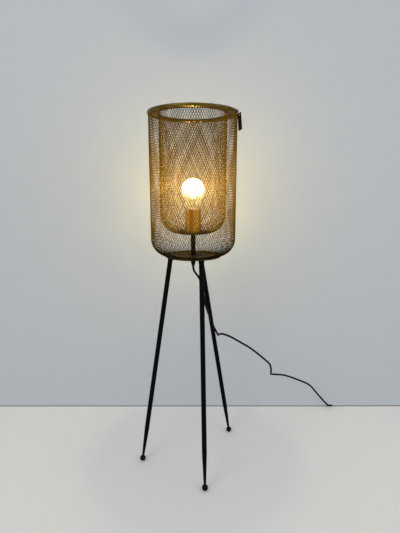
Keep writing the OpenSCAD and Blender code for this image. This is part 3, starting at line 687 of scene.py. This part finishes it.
def makeFloorWire():
    v = floorWireValues
    bm = bmesh.new()
    middle = Matrix.Translation((innerBasket["shortEdge"], 0, innerBasket["floorZ"]))
    bmesh.ops.create_circle(
        bm, segments=v["sides"], radius=v["radius"], matrix=middle @ Matrix.Rotation(pi / 2, 4, "X")
    )
    bmesh.ops.spin(
        bm, geom=bm.edges[:], axis=(0, 0, 1), angle=2 * pi, steps=v["steps"], use_merge=True
    )
    bmesh.ops.recalc_face_normals(bm, faces=bm.faces)
    smoothFaces(bm)
    return addPiece("innerFloorWire", bm, innerWire, "lamp")


makeFloorWire()

# The bulb's glass, blown round above and drawn into a neck below, with its real wall
bulbValues = {
    "radius": 0.030,
    "neckRadius": 0.0134,
    "neckZ": 0.720,
    "middleZ": 0.770,
    "glass": 0.0008,
    "rows": 16,
    "steps": 64,
    "power": 16.0,
    "lampColour": "#ffdd7e",
    "lampRadius": 0.02,
}


# Half outline of the glass from its neck up to its crown, inset from its outside
def glassLine(inset):
    v = bulbValues
    radius, neck = v["radius"] - inset, v["neckRadius"] - inset
    rise = v["middleZ"] - v["neckZ"]
    line = []
    for i in range(v["rows"]):
        t = i / v["rows"]
        line.append((neck + (radius - neck) * (1 - cos(pi * t)) / 2, v["neckZ"] + rise * t))
    for i in range(v["rows"] + 1):
        angle = pi / 2 * i / v["rows"]
        line.append((radius * cos(angle), v["middleZ"] + radius * sin(angle)))
    return line


# Outer and inner outline make one wall; the edge between their crowns is on the axis
def makeGlass():
    line = glassLine(0) + glassLine(bulbValues["glass"])[::-1]
    bm = turnOutline(line, bulbValues["steps"], leftOut=len(line) // 2 - 1)
    bmesh.ops.remove_doubles(bm, verts=bm.verts, dist=1e-6)
    bmesh.ops.dissolve_degenerate(bm, edges=bm.edges, dist=1e-7)
    bmesh.ops.recalc_face_normals(bm, faces=bm.faces)
    smoothFaces(bm)
    return addPiece("bulbGlass", bm, clearGlass, "bulb", ["bulb_glass"])


makeGlass()
bulbLight = bpy.data.objects.new("bulbLight", bpy.data.lights.new("bulbLight", "POINT"))
bulbLight.data.energy = bulbValues["power"]
bulbLight.data.color = linear(bulbValues["lampColour"])[:3]
bulbLight.data.shadow_soft_size = bulbValues["lampRadius"]
bulbLight.location = (0, 0, bulbValues["middleZ"])
bpy.context.scene.collection.objects.link(bulbLight)
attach(bulbLight, "bulb")
print("stage: bulb")


# The floor and the wall behind: pale, plain, and not part of the object. The wall's foot
# is a thin dark strip that stands just in front of it, a painted shadow along the joint.
stageValues = {
    "reach": 2.0,
    "wallY": 0.2462,
    "footHeight": 0.003,
    "footGap": 0.001,
    "floorColour": "#b8b9ba",
    "wallColour": "#747a81",
    "wallOwnLight": 0.27,
    "footShadowColour": "#3c3e42",
    "ownLightColour": "#f4f6f8",
}


def addStagePlane(name, material, corners):
    bm = bmesh.new()
    bm.faces.new([bm.verts.new(c) for c in corners])
    mesh = bpy.data.meshes.new(name)
    bm.to_mesh(mesh)
    bm.free()
    mesh.materials.append(material)
    plane = bpy.data.objects.new(name, mesh)
    bpy.context.scene.collection.objects.link(plane)
    return plane


# A plain pale surface; ownLight is how bright it looks by itself to the camera,
# and lights nothing. A one-sided surface is clear from behind and casts no shadow.
def paleStage(name, colour, ownLight=0.0, oneSided=False):
    material, tree = newTree(name)
    rays = addNode(tree, "LightPath").outputs
    larger = {"operation": "MAXIMUM"}
    seen = addNode(
        tree, "Math", larger, input0=rays["Is Camera Ray"], input1=rays["Is Glossy Ray"]
    ).outputs["Value"]
    seen = addNode(
        tree, "Math", larger, input0=seen, input1=rays["Is Transmission Ray"]
    ).outputs["Value"]
    amount = addNode(tree, "MapRange", Value=seen, To_Max=ownLight).outputs["Result"]
    shader = addNode(
        tree, "BsdfPrincipled", Base_Color=linear(colour), Roughness=0.9, Specular_IOR_Level=0.0,
        Emission_Color=linear(stageValues["ownLightColour"]), Emission_Strength=amount,
    ).outputs["BSDF"]
    if oneSided:
        behind = addNode(tree, "NewGeometry").outputs["Backfacing"]
        clearSide = addNode(tree, "Math", larger, input0=behind, input1=rays["Is Shadow Ray"])
        clear = addNode(tree, "BsdfTransparent").outputs["BSDF"]
        shader = addNode(
            tree, "MixShader", Fac=clearSide.outputs["Value"], input1=shader, input2=clear
        ).outputs["Shader"]
    addNode(tree, "OutputMaterial", Surface=shader)
    return material


# Corners of an upright strip across the whole stage
def uprightCorners(y, height):
    far = stageValues["reach"]
    return [(-far, y, 0), (far, y, 0), (far, y, height), (-far, y, height)]


def makeStage():
    v = stageValues
    far = v["reach"]
    addStagePlane(
        "floor", paleStage("floorPale", v["floorColour"]),
        [(-far, -far, 0), (far, -far, 0), (far, far, 0), (-far, far, 0)],
    )
    wall = addStagePlane(
        "wall", paleStage("wallPale", v["wallColour"], v["wallOwnLight"], oneSided=True),
        uprightCorners(v["wallY"], far),
    )
    # Painted shadow: a thin dark strip along the wall's foot
    wallFootShadow = addStagePlane(
        "wallFootShadow", paleStage("wallFootPaintedShadow", v["footShadowColour"], oneSided=True),
        uprightCorners(v["wallY"] - v["footGap"], v["footHeight"]),
    )
    for screen in (wall, wallFootShadow):
        screen.visible_diffuse = False  # neither keeps soft light from the floor and the lamp


makeStage()

# A large soft light from the left and a weaker one from the right
lightValues = {
    "keyLight": {
        "place": (-1.2, -1.5, 2.0),
        "target": (0, 0, 0.5),
        "size": 1.2,
        "power": 19,
        "colour": "#fff8ee",
    },
    "fillLight": {
        "place": (1.5, -1.0, 1.2),
        "target": (0, 0, 0.6),
        "size": 1.0,
        "power": 7,
        "colour": "#eef4ff",
    },
}
skyValues = {"colour": "#f4f6f8", "strength": 1.0}


def addArea(name):
    v = lightValues[name]
    light = bpy.data.objects.new(name, bpy.data.lights.new(name, "AREA"))
    light.data.size = v["size"]
    light.data.energy = v["power"]
    light.data.color = linear(v["colour"])[:3]
    light.location = v["place"]
    aim = Vector(v["target"]) - Vector(v["place"])
    light.rotation_euler = aim.to_track_quat("-Z", "Y").to_euler()
    bpy.context.scene.collection.objects.link(light)


addArea("keyLight")
addArea("fillLight")
world = bpy.data.worlds.new("studio")
bpy.context.scene.world = world
world.use_nodes = True
sky = world.node_tree.nodes["Background"].inputs
sky["Color"].default_value = linear(skyValues["colour"])
sky["Strength"].default_value = skyValues["strength"]
bpy.context.scene.view_settings.view_transform = "Standard"
print("stage: lights")
